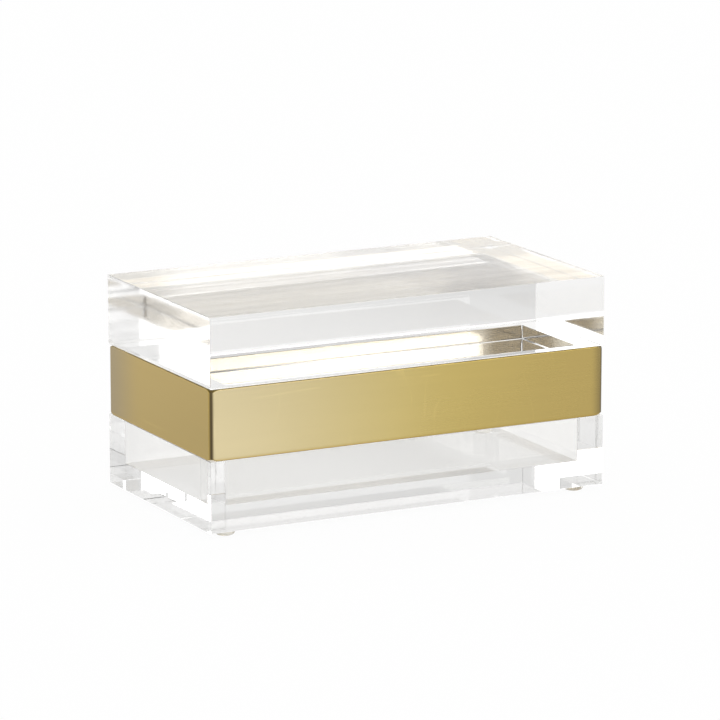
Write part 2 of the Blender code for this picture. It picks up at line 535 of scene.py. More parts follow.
@dataclass(frozen=True)
class AcrylicFinish:
    """Cast acrylic, its long faces drawn along X and the lid's sawn ends wavy and a little cloudy."""

    effects: SurfaceEffects
    lid_bottom: float
    name: str = "clear_acrylic"
    colour: tuple = (0.998, 0.995, 0.986)
    dulled_colour: tuple = (0.93, 0.925, 0.91)
    refraction: float = 1.54
    smudge_scale: float = 38.0
    smudge_cover: float = 0.3
    smudge_roughness: float = 0.02
    smudge_dulling: float = 0.15
    scratch_scale: float = 60.0
    scratch_width: float = 0.006
    scratch_roughness: float = 0.07
    wear_scale: float = 90.0
    wear_cover: float = 0.6
    wear_roughness: float = 0.08
    wear_dulling: float = 0.3
    end_start: float = 0.5
    end_full: float = 0.9
    sawn_roughness: float = 0.085
    tray_end_roughness: float = 0.02
    wave_depth: float = 0.00003
    wave_scale: float = 55.0
    wave_stretch: tuple = (1.0, 0.3, 1.8)
    drawn_scale: float = 160.0
    drawn_stretch: tuple = (0.05, 1.0, 1.0)
    drawn_share: float = 0.47
    tray_share: float = 0.25

    def material(self) -> bpy.types.Material:
        """Makes the finish.

        Returns:
            The new material.
        """
        material, wiring, shader = blank_material(self.name)
        place = wiring.node("ShaderNodeTexCoord")
        point = place.outputs["Object"]
        on_lid = wiring.maths("GREATER_THAN", wiring.split(point)[2], self.lid_bottom)
        end_face = wiring.remap(wiring.facing(place.outputs["Normal"], 0), self.end_start, self.end_full)
        dulled, roughness = self.handling(wiring, point)
        ends = wiring.remap(on_lid, 0.0, 1.0, self.tray_end_roughness, self.sawn_roughness)
        roughness = wiring.plus(roughness, end_face, ends)
        height = self.relief(wiring, point, on_lid, end_face)
        wiring.feed(shader, "Base Color", wiring.mixed(dulled, self.colour, self.dulled_colour))
        wiring.feed(shader, "Roughness", roughness)
        wiring.feed(shader, "Normal", wiring.bump(height, self.wave_depth))
        wiring.feed(shader, "IOR", self.refraction)
        wiring.feed(shader, "Transmission Weight", 1.0)
        return material

    def handling(self, wiring: Wiring, point: Socket) -> tuple:
        """The traces of use: smudges, fine scratches and rubbed edges.

        Args:
            wiring: The material's wiring.
            point: The place on the piece.

        Returns:
            How dulled the acrylic is, and how rough.
        """
        mask = self.effects.mask
        edge = wiring.edge()
        smudges = mask(wiring, "smudges", point, Scale=self.smudge_scale, Cover=self.smudge_cover)
        scratches = mask(wiring, "hairlines", point, Scale=self.scratch_scale, Width=self.scratch_width)
        worn = mask(wiring, "edge_wear", point, Edge=edge, Scale=self.wear_scale, Cover=self.wear_cover)
        roughness = wiring.maths("MULTIPLY", smudges, self.smudge_roughness)
        roughness = wiring.plus(roughness, scratches, self.scratch_roughness)
        roughness = wiring.plus(roughness, worn, self.wear_roughness)
        dulled = wiring.plus(wiring.maths("MULTIPLY", smudges, self.smudge_dulling), worn, self.wear_dulling)
        return dulled, roughness

    def relief(self, wiring: Wiring, point: Socket, on_lid: Socket, end_face: Socket) -> Socket:
        """The swells of the lid's sawn ends, and the streaks drawn along the other faces.

        Args:
            wiring: The material's wiring.
            point: The place on the piece.
            on_lid: 1 on the lid and 0 on the tray.
            end_face: 1 on the faces at the left and right ends and 0 elsewhere.

        Returns:
            The relief's height.
        """
        mask = self.effects.mask
        waves = mask(wiring, "waves", wiring.mapped(point, scale=self.wave_stretch), Scale=self.wave_scale)
        drawn = mask(wiring, "waves", wiring.mapped(point, scale=self.drawn_stretch), Scale=self.drawn_scale)
        share = wiring.remap(on_lid, 0.0, 1.0, self.drawn_share * self.tray_share, self.drawn_share)
        share = wiring.maths("MULTIPLY", share, wiring.maths("SUBTRACT", 1.0, end_face))
        height = wiring.maths("MULTIPLY", waves, wiring.maths("MULTIPLY", end_face, on_lid))
        return wiring.plus(height, drawn, share)


@dataclass(frozen=True)
class WeldFinish:
    """The film of cement in a joint: nearly clear, cloudier along its rims and dotted with tiny bubbles."""

    effects: SurfaceEffects
    name: str = "cement_film"
    colour: tuple = (0.80, 0.79, 0.76)
    bubble_colour: tuple = (0.92, 0.92, 0.9)
    roughness: float = 0.45
    film_share: float = 0.01
    rim_share: float = 0.3
    bubble_scale: float = 900.0
    bubble_cover: float = 0.12
    bubble_share: float = 0.08
    cloud_scale: float = 70.0
    cloud_cover: float = 0.7
    least_cloud: float = 0.6

    def material(self) -> bpy.types.Material:
        """Makes the finish.

        Returns:
            The new material.
        """
        material, wiring, shader = blank_material(self.name)
        point = wiring.node("ShaderNodeTexCoord").outputs["Object"]
        mask = self.effects.mask
        bubbles = mask(wiring, "smudges", point, Scale=self.bubble_scale, Cover=self.bubble_cover)
        cloud = mask(wiring, "smudges", point, Scale=self.cloud_scale, Cover=self.cloud_cover)
        rim = wiring.maths("MULTIPLY", wiring.edge(), wiring.remap(cloud, 0.0, 1.0, self.least_cloud, 1.0))
        alpha = wiring.plus(self.film_share, rim, self.rim_share)
        alpha = wiring.plus(alpha, bubbles, self.bubble_share)
        wiring.feed(shader, "Base Color", wiring.mixed(bubbles, self.colour, self.bubble_colour))
        wiring.feed(shader, "Alpha", alpha)
        wiring.feed(shader, "Roughness", self.roughness)
        return material


@dataclass(frozen=True)
class BrassFinish:
    """Brass brushed along each rail under lacquer, with dark mitre seams, painted shade on its rounded
    corners and upper edges and a painted golden reflection along its lower edges.

    The long rails' colour runs from a painted sheen at their left end to painted shade at their right,
    and the side rails' colour is painted shade. Their inner faces, and those of the side rails, are
    smoother, with a greyer colour that is a painted sheen and painted shade near the long rails' right ends.
    """

    effects: SurfaceEffects
    reach: Vector
    middle_height: float
    mitre_width: float
    rail_width: float
    name: str = "brushed_brass"
    colour: tuple = (0.665, 0.52, 0.178)
    # Painted sheen towards the long rails' left ends and painted shade towards their right ends.
    painted_sheen_colour: tuple = (0.73, 0.62, 0.37)
    painted_sheen_end_share: float = 0.35
    painted_right_shade_colour: tuple = (0.56, 0.42, 0.145)
    right_shade_start_share: float = 0.15
    # Painted shade on the side rails' outer faces, darker towards the back.
    shaded_side_colour: tuple = (0.52, 0.38, 0.124)
    painted_side_shade_colour: tuple = (0.385, 0.305, 0.17)
    side_shade_start_share: float = 0.3
    full_share: float = 1.05
    # Painted shade at the long rails' right ends.
    right_end_shade_colour: tuple = (0.30, 0.23, 0.10)
    right_end_shade_width: float = 0.007
    # Painted shade on the upper edges.
    painted_edge_shade: tuple = (0.17, 0.12, 0.025)
    # Painted golden reflection along the lower edges and the foot of the outer faces.
    painted_foot_reflection: tuple = (0.52, 0.36, 0.09)
    foot_reflection_height: float = 0.0018
    foot_reflection_share: float = 0.6
    # Dark mitre seams, and painted shade over the rounded corners.
    seam_and_corner_shade_colour: tuple = (0.10, 0.075, 0.04)
    mitre_start_share: float = 0.85
    mitre_full_share: float = 0.3
    seam_width: float = 0.00025
    seam_share: float = 0.7
    # Painted sheen: the inner faces' greyer colour.
    inner_sheen_colour: tuple = (0.57, 0.52, 0.42)
    inner_side_sheen_colour: tuple = (0.53, 0.49, 0.42)
    inner_start_share: float = 0.92
    inner_full_share: float = 0.98
    # Painted shade on the inner faces near the long rails' right ends.
    inner_end_shade_colour: tuple = (0.24, 0.185, 0.10)
    inner_end_shade_reach: float = 0.036
    inner_end_shade_fade: float = 0.012
    long_face_start: float = 0.6
    long_face_full: float = 0.95
    level_start: float = 0.1
    level_full: float = 0.4
    grain_start: float = 0.3
    grain_full: float = 0.7
    darkest_grain: float = 0.988
    lightest_grain: float = 1.01
    lines_share: float = 0.5
    tarnish_scale: float = 13.0
    tarnish_cover: float = 0.6
    tarnish_shade: float = 0.05
    tarnish_roughness: float = 0.05
    scratch_scale: float = 45.0
    scratch_width: float = 0.008
    scratch_shade: float = 0.06
    wear_scale: float = 120.0
    wear_cover: float = 0.7
    least_painted_edge: float = 0.8
    upper_edge_relief: float = 0.15
    line_spacing: float = 0.00022
    line_length: float = 0.08
    line_depth: float = 0.000001
    roughness: float = 0.24
    finer_roughness: float = 0.01
    coarser_roughness: float = 0.016
    inner_roughness: float = 0.13

    def material(self) -> bpy.types.Material:
        """Makes the finish.

        Returns:
            The new material.
        """
        material, wiring, shader = blank_material(self.name)
        place = wiring.node("ShaderNodeTexCoord")
        point, normal = place.outputs["Object"], place.outputs["Normal"]
        across, deep, up = wiring.split(point)
        to_end = wiring.maths("SUBTRACT", self.reach.x, wiring.maths("ABSOLUTE", across))
        to_side = wiring.maths("SUBTRACT", self.reach.y, wiring.maths("ABSOLUTE", deep))
        on_side_rail = wiring.maths("LESS_THAN", to_end, to_side)
        long_face = wiring.remap(wiring.facing(normal, 1), self.long_face_start, self.long_face_full)
        depth = wiring.maths("MINIMUM", to_end, to_side)
        inner_start = self.rail_width * self.inner_start_share
        inner = wiring.remap(depth, inner_start, self.rail_width * self.inner_full_share)
        lines, streaks = self.brushed(wiring, point, on_side_rail)
        mask = self.effects.mask
        tarnish = mask(wiring, "smudges", point, Scale=self.tarnish_scale, Cover=self.tarnish_cover)
        # The outer faces' colour with painted sheen, painted shade and a painted golden reflection.
        colour = self.outer_colour_and_painted_light(wiring, across, deep, up, long_face)
        # Painted sheen on the inner faces, with painted shade near the long rails' right ends.
        colour = wiring.mixed(inner, colour, self.inner_sheen_and_shade(wiring, across, long_face))
        grain = wiring.maths("MULTIPLY", lines, self.lines_share)
        grain = wiring.plus(grain, streaks, 1 - self.lines_share)
        colour = self.grained(wiring, colour, point, grain, tarnish)
        # Painted shade darkens the upper edges and a painted golden reflection lines the lower edges.
        lower = wiring.maths("LESS_THAN", up, self.middle_height)
        level = wiring.remap(wiring.facing(normal, 2), self.level_start, self.level_full)
        plain = wiring.maths("SUBTRACT", 1.0, wiring.maths("MAXIMUM", on_side_rail, lower))
        shown = wiring.maths("MAXIMUM", wiring.less(level, plain, self.upper_edge_relief), 0.0)
        shown = wiring.maths("MULTIPLY", shown, wiring.maths("SUBTRACT", 1.0, inner))
        worn = wiring.maths("MULTIPLY", self.worn(wiring, point), shown)
        colour = wiring.mixed(worn, colour, wiring.mixed(lower, self.painted_edge_shade, self.painted_foot_reflection))
        # Dark mitre seams and painted shade over the rounded corners.
        colour = wiring.mixed(self.mitred(wiring, to_end, to_side), colour, self.seam_and_corner_shade_colour)
        least, most = self.roughness - self.finer_roughness, self.roughness + self.coarser_roughness
        roughness = wiring.remap(lines, self.grain_start, self.grain_full, least, most)
        roughness = wiring.plus(roughness, tarnish, self.tarnish_roughness)
        roughness = wiring.less(roughness, inner, self.roughness - self.inner_roughness)
        wiring.feed(shader, "Base Color", colour)
        wiring.feed(shader, "Roughness", roughness)
        wiring.feed(shader, "Normal", wiring.bump(lines, self.line_depth))
        wiring.feed(shader, "Metallic", 1.0)
        return material

    def brushed(self, wiring: Wiring, point: Socket, on_side_rail: Socket) -> tuple:
        """The brushing, which runs along each rail.

        Args:
            wiring: The material's wiring.
            point: The place on the band.
            on_side_rail: 1 on the side rails and 0 on the long ones.

        Returns:
            The fine lines and the broader streaks.
        """
        across, deep, up = wiring.split(point)
        field = wiring.mixed(on_side_rail, point, wiring.joined(deep, across, up), MixKind.VECTOR)
        brushing = self.effects.place(
            wiring,
            "brushing",
            Vector=field,
            Spacing=self.line_spacing,
            Length=self.line_length,
        )
        return tuple(brushing.outputs)

    def worn(self, wiring: Wiring, point: Socket) -> Socket:
        """How much painted edge shade and reflection each edge takes: at least a share everywhere, fully in
        places.

        Args:
            wiring: The material's wiring.
            point: The place on the band.

        Returns:
            The wear, from 0 to 1.
        """
        edge = wiring.edge()
        mask = self.effects.mask
        # This mask only varies how much painted edge shade and reflection each place takes.
        rubbed = mask(wiring, "edge_wear", point, Edge=edge, Scale=self.wear_scale, Cover=self.wear_cover)
        return wiring.remap(rubbed, 0.0, 1.0, wiring.maths("MULTIPLY", edge, self.least_painted_edge), edge)

    def mitred(self, wiring: Wiring, to_end: Socket, to_side: Socket) -> Socket:
        """Where the mitres' seams are dark joints, and where painted shade darkens the rounded corners.

        Args:
            wiring: The material's wiring.
            to_end: How far the place is from the nearer end.
            to_side: How far it is from the nearer long side.

        Returns:
            The darkness, from 0 to 1.
        """
        from_corner = wiring.maths("MAXIMUM", to_end, to_side)
        full = self.mitre_width * self.mitre_full_share
        # Painted shade over the rounded corners.
        dark = wiring.remap(from_corner, full, self.mitre_width * self.mitre_start_share, 1.0, 0.0)
        from_seam = wiring.maths("ABSOLUTE", wiring.maths("SUBTRACT", to_end, to_side))
        seam = wiring.remap(from_seam, 0.0, self.seam_width, self.seam_share, 0.0)
        return wiring.maths("MAXIMUM", dark, seam)

    def outer_colour_and_painted_light(self, wiring: Wiring, across: Socket, deep: Socket, up: Socket, long_face: Socket) -> Socket:
        """The outer faces' colour, with painted sheen and shade along the rails and a painted golden
        reflection at their foot.

        Args:
            wiring: The material's wiring.
            across: The place along the long rails.
            deep: The place along the side rails.
            up: The height.
            long_face: 1 on the upright faces of the long rails and 0 on those of the side rails.

        Returns:
            The colour.
        """
        reach = self.reach
        # Painted sheen towards the long rails' left ends and painted shade towards their right ends.
        pale = wiring.remap(across, -reach.x, reach.x * self.painted_sheen_end_share, 1.0, 0.0)
        right_shading = wiring.remap(across, -reach.x * self.right_shade_start_share, reach.x * self.full_share)
        # Painted shade on the side rails, deepening towards the back.
        side_shade = wiring.remap(deep, reach.y * self.side_shade_start_share, reach.y * self.full_share)
        long_colour = wiring.mixed(right_shading, wiring.mixed(pale, self.colour, self.painted_sheen_colour), self.painted_right_shade_colour)
        # Painted shade at the long rails' right ends.
        end = wiring.remap(across, reach.x - self.right_end_shade_width, reach.x)
        long_colour = wiring.mixed(end, long_colour, self.right_end_shade_colour)
        shaded_side_colour = wiring.mixed(side_shade, self.shaded_side_colour, self.painted_side_shade_colour)
        colour = wiring.mixed(long_face, shaded_side_colour, long_colour)
        # Painted golden reflection along the foot of the outer faces.
        above = wiring.maths("SUBTRACT", up, self.middle_height - reach.z)
        golden = wiring.remap(above, 0.0, self.foot_reflection_height, self.foot_reflection_share, 0.0)
        return wiring.mixed(golden, colour, self.painted_foot_reflection)

    def inner_sheen_and_shade(self, wiring: Wiring, across: Socket, long_face: Socket) -> Socket:
        """The inner faces' colour: greyer as a painted sheen, with painted shade near the long rails' right
        ends.

        Args:
            wiring: The material's wiring.
            across: The place along the long rails.
            long_face: 1 on the upright faces of the long rails and 0 on those of the side rails.

        Returns:
            The colour.
        """
        to_right = wiring.maths("SUBTRACT", self.reach.x, across)
        # Painted shade near the long rails' right ends.
        inner_end_shade = wiring.remap(to_right, self.inner_end_shade_reach - self.inner_end_shade_fade, self.inner_end_shade_reach, 1.0, 0.0)
        inner_long = wiring.mixed(inner_end_shade, self.inner_sheen_colour, self.inner_end_shade_colour)
        return wiring.mixed(long_face, self.inner_side_sheen_colour, inner_long)

    def grained(
        self,
        wiring: Wiring,
        colour: Socket,
        point: Socket,
        grain: Socket,
        tarnish: Socket,
    ) -> Socket:
        """The colour made a little lighter or darker by the brushing, the tarnish and fine scratches.

        Args:
            wiring: The material's wiring.
            colour: The metal's colour.
            point: The place on the band.
            grain: The brushing's lines and streaks together, which lie round a half.
            tarnish: The share of tarnish.

        Returns:
            The shaded colour.
        """
        mask = self.effects.mask
        scratches = mask(wiring, "hairlines", point, Scale=self.scratch_scale, Width=self.scratch_width)
        darkest, lightest = self.darkest_grain, self.lightest_grain
        shade = wiring.remap(grain, self.grain_start, self.grain_full, darkest, lightest)
        shade = wiring.less(shade, tarnish, self.tarnish_shade)
        shade = wiring.plus(shade, scratches, self.scratch_shade)
        made = wiring.node("ShaderNodeVectorMath")
        made.operation = "SCALE"
        wiring.feed(made, 0, colour)
        wiring.feed(made, "Scale", shade)
        return made.outputs[0]


@dataclass(frozen=True)
class BumperFinish:
    """The clear, slightly smoky soft plastic of the feet, dusty where they are handled."""

    effects: SurfaceEffects
    name: str = "clear_bumper"
    colour: tuple = (0.88, 0.86, 0.80)
    dusty_colour: tuple = (0.72, 0.69, 0.61)
    roughness: float = 0.08
    refraction: float = 1.47
    dust_scale: float = 320.0
    dust_cover: float = 0.6
    dust_roughness: float = 0.2
    wear_scale: float = 500.0
    wear_cover: float = 0.3
    wear_share: float = 0.5
    swell_scale: float = 380.0
    swell_depth: float = 0.00004

    def material(self) -> bpy.types.Material:
        """Makes the finish.

        Returns:
            The new material.
        """
        material, wiring, shader = blank_material(self.name)
        point = wiring.node("ShaderNodeTexCoord").outputs["Object"]
        mask = self.effects.mask
        edge = wiring.edge()
        dust = mask(wiring, "smudges", point, Scale=self.dust_scale, Cover=self.dust_cover)
        worn = mask(wiring, "edge_wear", point, Edge=edge, Scale=self.wear_scale, Cover=self.wear_cover)
        swell = mask(wiring, "waves", point, Scale=self.swell_scale)
        soiled = wiring.maths("MAXIMUM", dust, wiring.maths("MULTIPLY", worn, self.wear_share))
        roughness = wiring.plus(self.roughness, soiled, self.dust_roughness)
        wiring.feed(shader, "Base Color", wiring.mixed(soiled, self.colour, self.dusty_colour))
        wiring.feed(shader, "Roughness", roughness)
        wiring.feed(shader, "Normal", wiring.bump(swell, self.swell_depth))
        wiring.feed(shader, "IOR", self.refraction)
        wiring.feed(shader, "Transmission Weight", 1.0)
        return material


@dataclass
class AcrylicTray:
    """The clear tray: four walls and a floor, welded into one block of acrylic."""

    edge_radius: float = 0.00018
    edge_strips: int = 4
    walls: tuple = tuple(f"tray_wall_{side.name.lower()}" for side in Side)
    floor: str = "tray_floor"

    def build(self, acrylic: bpy.types.Material) -> bpy.types.Object:
        """Builds the tray with its hollow, in place of its walls and floor.

        Args:
            acrylic: Its material.

        Returns:
            The tray.
        """
        outside = Extent.of_nodes(*self.walls, self.floor)
        front = Extent.of_nodes("tray_wall_front")
        floor = Extent.of_nodes(self.floor)
        bm = block_mesh(outside)
        top = faces_towards(bm, Vector((0, 0, 1)))
        step_face(bm, top, front.size.y, floor.high.z - outside.high.z)
        round_edges(bm, outward_edges(bm), self.edge_radius, self.edge_strips)
        piece = finished_piece("tray", bm, acrylic, Body.BOX)
        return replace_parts(piece, *self.walls, self.floor)


@dataclass
class AcrylicLid:
    """The lid: a solid clear block with its locating plate welded under it."""

    lower_radius: float = 0.0006
    plate_radius: float = 0.0004
    plate_strips: int = 1
    edge_radius: float = 0.00018
    edge_strips: int = 4
    block: str = "lid_block"
    plate: str = "lid_locating_plate"

    def build(self, acrylic: bpy.types.Material) -> bpy.types.Object:
        """Builds the lid in place of its block and plate.

        Args:
            acrylic: Its material.

        Returns:
            The lid.
        """
        block = Extent.of_nodes(self.block)
        plate = Extent.of_nodes(self.plate)
        bm = block_mesh(block)
        inset = (block.size.x - plate.size.x) / 2
        step_face(bm, faces_towards(bm, Vector((0, 0, -1))), inset, plate.low.z - block.low.z)
        under, joint, top = plate.low.z, block.low.z, block.high.z
        for lowest, highest, radius, strips in (
            (joint, joint, self.lower_radius, self.edge_strips),
            (joint, top, self.edge_radius, self.edge_strips),
            (under, joint, self.plate_radius, self.plate_strips),
        ):
            round_edges(bm, self.edges_between(bm, lowest, highest), radius, strips)
        piece = finished_piece("lid", bm, acrylic, Body.LID)
        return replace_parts(piece, self.block, self.plate)

    def edges_between(self, bm: bmesh.types.BMesh, lowest: float, highest: float) -> list:
        """The outward edges that lie between two heights, both included."""
        return [
            edge for edge in outward_edges(bm)
            if all(lowest - HEIGHT_SLACK < corner.co.z < highest + HEIGHT_SLACK for corner in edge.verts)
        ]


@dataclass
class CementWelds:
    """The thin films of cement in the tray's and the lid's joints, sunk in the clear pieces."""

    thickness: float = 0.00012
    margin: float = 0.00008
    rim: float = 0.0003
    floor_rim_share: float = 0.12
    lid_rim_share: float = 0.35
    corner_rim_share: float = 0.9

    def build(self, finish: WeldFinish) -> list:
        """Builds the films of the tray and the one of the lid.

        Args:
            finish: The cement.

        Returns:
            The two pieces.
        """
        material = finish.material()
        pieces = []
        tray = [(film, self.corner_rim_share) for film in self.corner_films()]
        tray += [(film, self.floor_rim_share) for film in self.floor_films()]
        lid = [(self.lid_film(), self.lid_rim_share)]
        for name, films, body in (("tray_welds", tray, Body.BOX), ("lid_weld", lid, Body.LID)):
            bm = bmesh.new()
            mark = bm.faces.layers.float.new(EDGE_MARK)
            for film, rim_share in films:
                self.add_film(bm, mark, film, rim_share)
            pieces.append(finished_piece(name, bm, material, body))
        return pieces

    def corner_films(self) -> list:
        """The four upright joints where the side walls meet the front and back walls.

        Returns:
            The films' spaces.
        """
        films = []
        for side in (Side.LEFT, Side.RIGHT):
            wall = Extent.of_nodes(f"tray_wall_{side.name.lower()}")
            for along in (wall.low.y, wall.high.y):
                films.append(self.film(1, along, wall.low, wall.high))
        return films

    def floor_films(self) -> list:
        """The four joints round the floor.

        Returns:
            The films' spaces.
        """
        floor = Extent.of_nodes("tray_floor")
        films = [self.film(0, across, floor.low, floor.high) for across in (floor.low.x, floor.high.x)]
        return films + [self.film(1, along, floor.low, floor.high) for along in (floor.low.y, floor.high.y)]

    def lid_film(self) -> Extent:
        """The level joint between the lid's block and its plate."""
        plate = Extent.of_nodes("lid_locating_plate")
        return self.film(2, plate.high.z, plate.low, plate.high)

    def film(self, axis: int, place: float, low: Vector, high: Vector) -> Extent:
        """The space of a film that lies square to an axis.

        Args:
            axis: The axis that it is square to.
            place: Where on this axis its middle lies.
            low: The lowest corner of the joint's space.
            high: Its highest corner.

        Returns:
            The film's block, a little inside the joint's own edges.
        """
        start = low + Vector((self.margin,) * 3)
        end = high - Vector((self.margin,) * 3)
        start[axis] = place - self.thickness / 2
        end[axis] = place + self.thickness / 2
        return Extent(start, end)

    def add_film(self, bm: bmesh.types.BMesh, mark: object, film: Extent, rim_share: float) -> None:
        """Adds a film to the mesh, with its rim marked as an edge.

        Args:
            bm: The mesh.
            mark: The layer that holds the edge mark.
            film: The space that it fills.
            rim_share: How strongly its rim is marked.
        """
        place = Matrix.Translation(film.centre) @ Matrix.Diagonal((*film.size, 1))
        corners = bmesh.ops.create_cube(bm, size=1, matrix=place)["verts"]
        faces = list({face for corner in corners for face in corner.link_faces})
        faces.sort(key=lambda face: face.calc_area())
        broad = faces[-2:]
        ring = bmesh.ops.inset_individual(bm, faces=broad, thickness=self.rim, use_even_offset=True)["faces"]
        for face in faces[:-2] + ring:
            face[mark] = rim_share


@dataclass
class BrassBand:
    """The band: four mitred rails welded and dressed into one ring.

    Its top and bottom are cut across at the eased shares of the eased reach, so that only the part
    near each corner is drawn in.
    """

    corner_radius: float = 0.0024
    corner_strips: int = 16
    edge_radius: float = 0.0004
    edge_strips: int = 3
    crisp_turn: float = 1.2
    eased_reach: float = 0.0045
    eased_depth: float = 0.002
    eased_shares: tuple = (1.0, 0.75)
    clearance: float = 0.00006
    rails: tuple = tuple(f"frame_rail_{side.name.lower()}" for side in Side)

    def build(self, effects: SurfaceEffects) -> bpy.types.Object:
        """Builds the ring in place of the four rails.

        Args:
            effects: The node groups for its finish.

        Returns:
            The band.
        """
        tray = Extent.of_nodes(*AcrylicTray.walls)
        lid = Extent.of_nodes("lid_block")
        outside = Extent(
            Vector((tray.low.x, tray.low.y, tray.high.z + self.clearance)),
            Vector((tray.high.x, tray.high.y, lid.low.z - self.clearance)),
        )
        width = Extent.of_nodes("frame_rail_front").size.y
        bm = block_mesh(outside)
        ends = faces_towards(bm, Vector((0, 0, 1))) + faces_towards(bm, Vector((0, 0, -1)))
        bmesh.ops.inset_individual(bm, faces=ends, thickness=width, use_even_offset=True)
        rims = [edge for face in ends for edge in face.edges]
        bmesh.ops.delete(bm, geom=ends, context="FACES_ONLY")
        bmesh.ops.bridge_loops(bm, edges=rims)
        uprights = [
            edge for edge in outward_edges(bm)
            if abs(edge.verts[0].co.z - edge.verts[1].co.z) > outside.size.z / 2
        ]
        round_edges(bm, uprights, self.corner_radius, self.corner_strips)
        crisp = [edge for edge in outward_edges(bm) if edge.calc_face_angle(0) > self.crisp_turn]
        round_edges(bm, crisp, self.edge_radius, self.edge_strips)
        self.ease_corners(bm, outside)
        finish = BrassFinish(effects, outside.size / 2, outside.centre.z, self.corner_radius, width)
        piece = finished_piece("brass_band", bm, finish.material(), Body.BOX)
        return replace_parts(piece, *self.rails)

    def ease_corners(self, bm: bmesh.types.BMesh, outside: Extent) -> None:
        """Draws the ring's top and bottom in a little round its corners, as polishing leaves them.

        Args:
            bm: The ring.
            outside: The space that it fills.
        """
        half = outside.size / 2
        for share in self.eased_shares:
            for side in Side:
                way = Vector((*side.value, 0))
                far = abs(half.dot(way)) - share * self.eased_reach
                geometry = bm.verts[:] + bm.edges[:] + bm.faces[:]
                bmesh.ops.bisect_plane(bm, geom=geometry, plane_co=outside.centre + way * far, plane_no=way)
        for corner in bm.verts:
            place = corner.co - outside.centre
            gap = math.hypot(half.x - abs(place.x), half.y - abs(place.y))
            share = max(0.0, 1 - gap / self.eased_reach)
            corner.co.z -= math.copysign(self.eased_depth * share * share, place.z)


@dataclass
class BumperFeet:
    """The four turned bumpers under the tray."""

    steps: int = 48
    rim_share: float = 0.2
    tip_share: float = 0.55
    dome_points: int = 12

    def build(self, finish: BumperFinish) -> list:
        """Builds each foot in place of its node.

        Args:
            finish: The feet's soft plastic.

        Returns:
            The four feet.
        """
        material = finish.material()
        feet = []
        for end in (Side.FRONT, Side.BACK):
            for side in (Side.LEFT, Side.RIGHT):
                node = f"bumper_foot_{end.name.lower()}_{side.name.lower()}"
                foot = self.turned(node, material)
                feet.append(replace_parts(foot, node))
        return feet

    def turned(self, node: str, material: bpy.types.Material) -> bpy.types.Object:
        """Turns one foot from its profile.

        Args:
            node: The node that the foot stands for.
            material: Its finish.

        Returns:
            The foot.
        """
        place = Extent.of_nodes(node)
        radius = place.size.x / 2
        tip = radius * self.tip_share
        dome = place.size.z * (1 - self.rim_share)
        profile = [(0.0, place.size.z), (radius, place.size.z)]
        for step in range(self.dome_points + 1):
            angle = math.pi / 2 * step / self.dome_points
            profile.append((tip + (radius - tip) * math.cos(angle), dome * (1 - math.sin(angle))))
        profile.append((0.0, 0.0))
        bm = bmesh.new()
        base = Vector((place.centre.x, place.centre.y, place.low.z))
        points = [bm.verts.new(base + Vector((across, 0, up))) for across, up in profile]
        edges = [bm.edges.new(pair) for pair in zip(points, points[1:])]
        bmesh.ops.spin(
            bm,
            geom=points + edges,
            cent=base,
            axis=Vector((0, 0, 1)),
            angle=2 * math.pi,
            steps=self.steps,
            use_merge=True,
        )
        return finished_piece(f"clear_{node}", bm, material, Body.BOX)


def direction(bearing: float, rise: float) -> Vector:
    """Turns two angles in degrees into a way to look.

    Args:
        bearing: The angle from +Y, clockwise as seen from above.
        rise: The angle up from level.

    Returns:
        The way, as a vector of length 1.
    """
    turn, tilt = math.radians(bearing), math.radians(rise)
    level = math.cos(tilt)
    return Vector((math.sin(turn) * level, math.cos(turn) * level, math.sin(tilt)))


@dataclass(frozen=True)
class Viewpoint:
    """The camera, placed from the middle of the tray's underside.

    It looks along its yaw, in degrees clockwise from +Y, and down by its pitch.
    """

    offset: tuple = (-0.99957, -1.92873, 0.54179)
    yaw: float = 27.446
    pitch: float = 12.528
    sensor: float = 36.0
    lens: float = 238.69
    farthest: float = 20.0

    def build(self) -> bpy.types.Object:
        """Makes this the scene's camera.

        Returns:
            The camera.
        """
        data = bpy.data.cameras.new("camera")
        data.sensor_width = self.sensor
        data.lens = self.lens
        data.clip_end = self.farthest
        camera = bpy.data.objects.new("camera", data)
        tray = Extent.of_nodes("tray_floor")
        camera.location = Vector(self.offset) + Vector((0, 0, tray.low.z))
        camera.rotation_euler = direction(self.yaw, -self.pitch).to_track_quat("-Z", "Y").to_euler()
        bpy.context.scene.collection.objects.link(camera)
        bpy.context.scene.camera = camera
        return camera


@dataclass(frozen=True)
class SoftPanel:
    """A round part of the room's walls that is lighter or darker than the rest.

    Its middle is given in degrees, clockwise from +Y as seen from above and up from the floor, and
    its reach is the angle from its middle to where it has faded out.
    """

    name: str
    bearing: float
    rise: float
    reach: float
    fade: float
    level: float


@dataclass(frozen=True)
class LightPool:
    """A soft round patch of the floor, in metres, that gloss and glass see lighter or darker."""

    name: str
    middle: tuple
    reach: float
    level: float


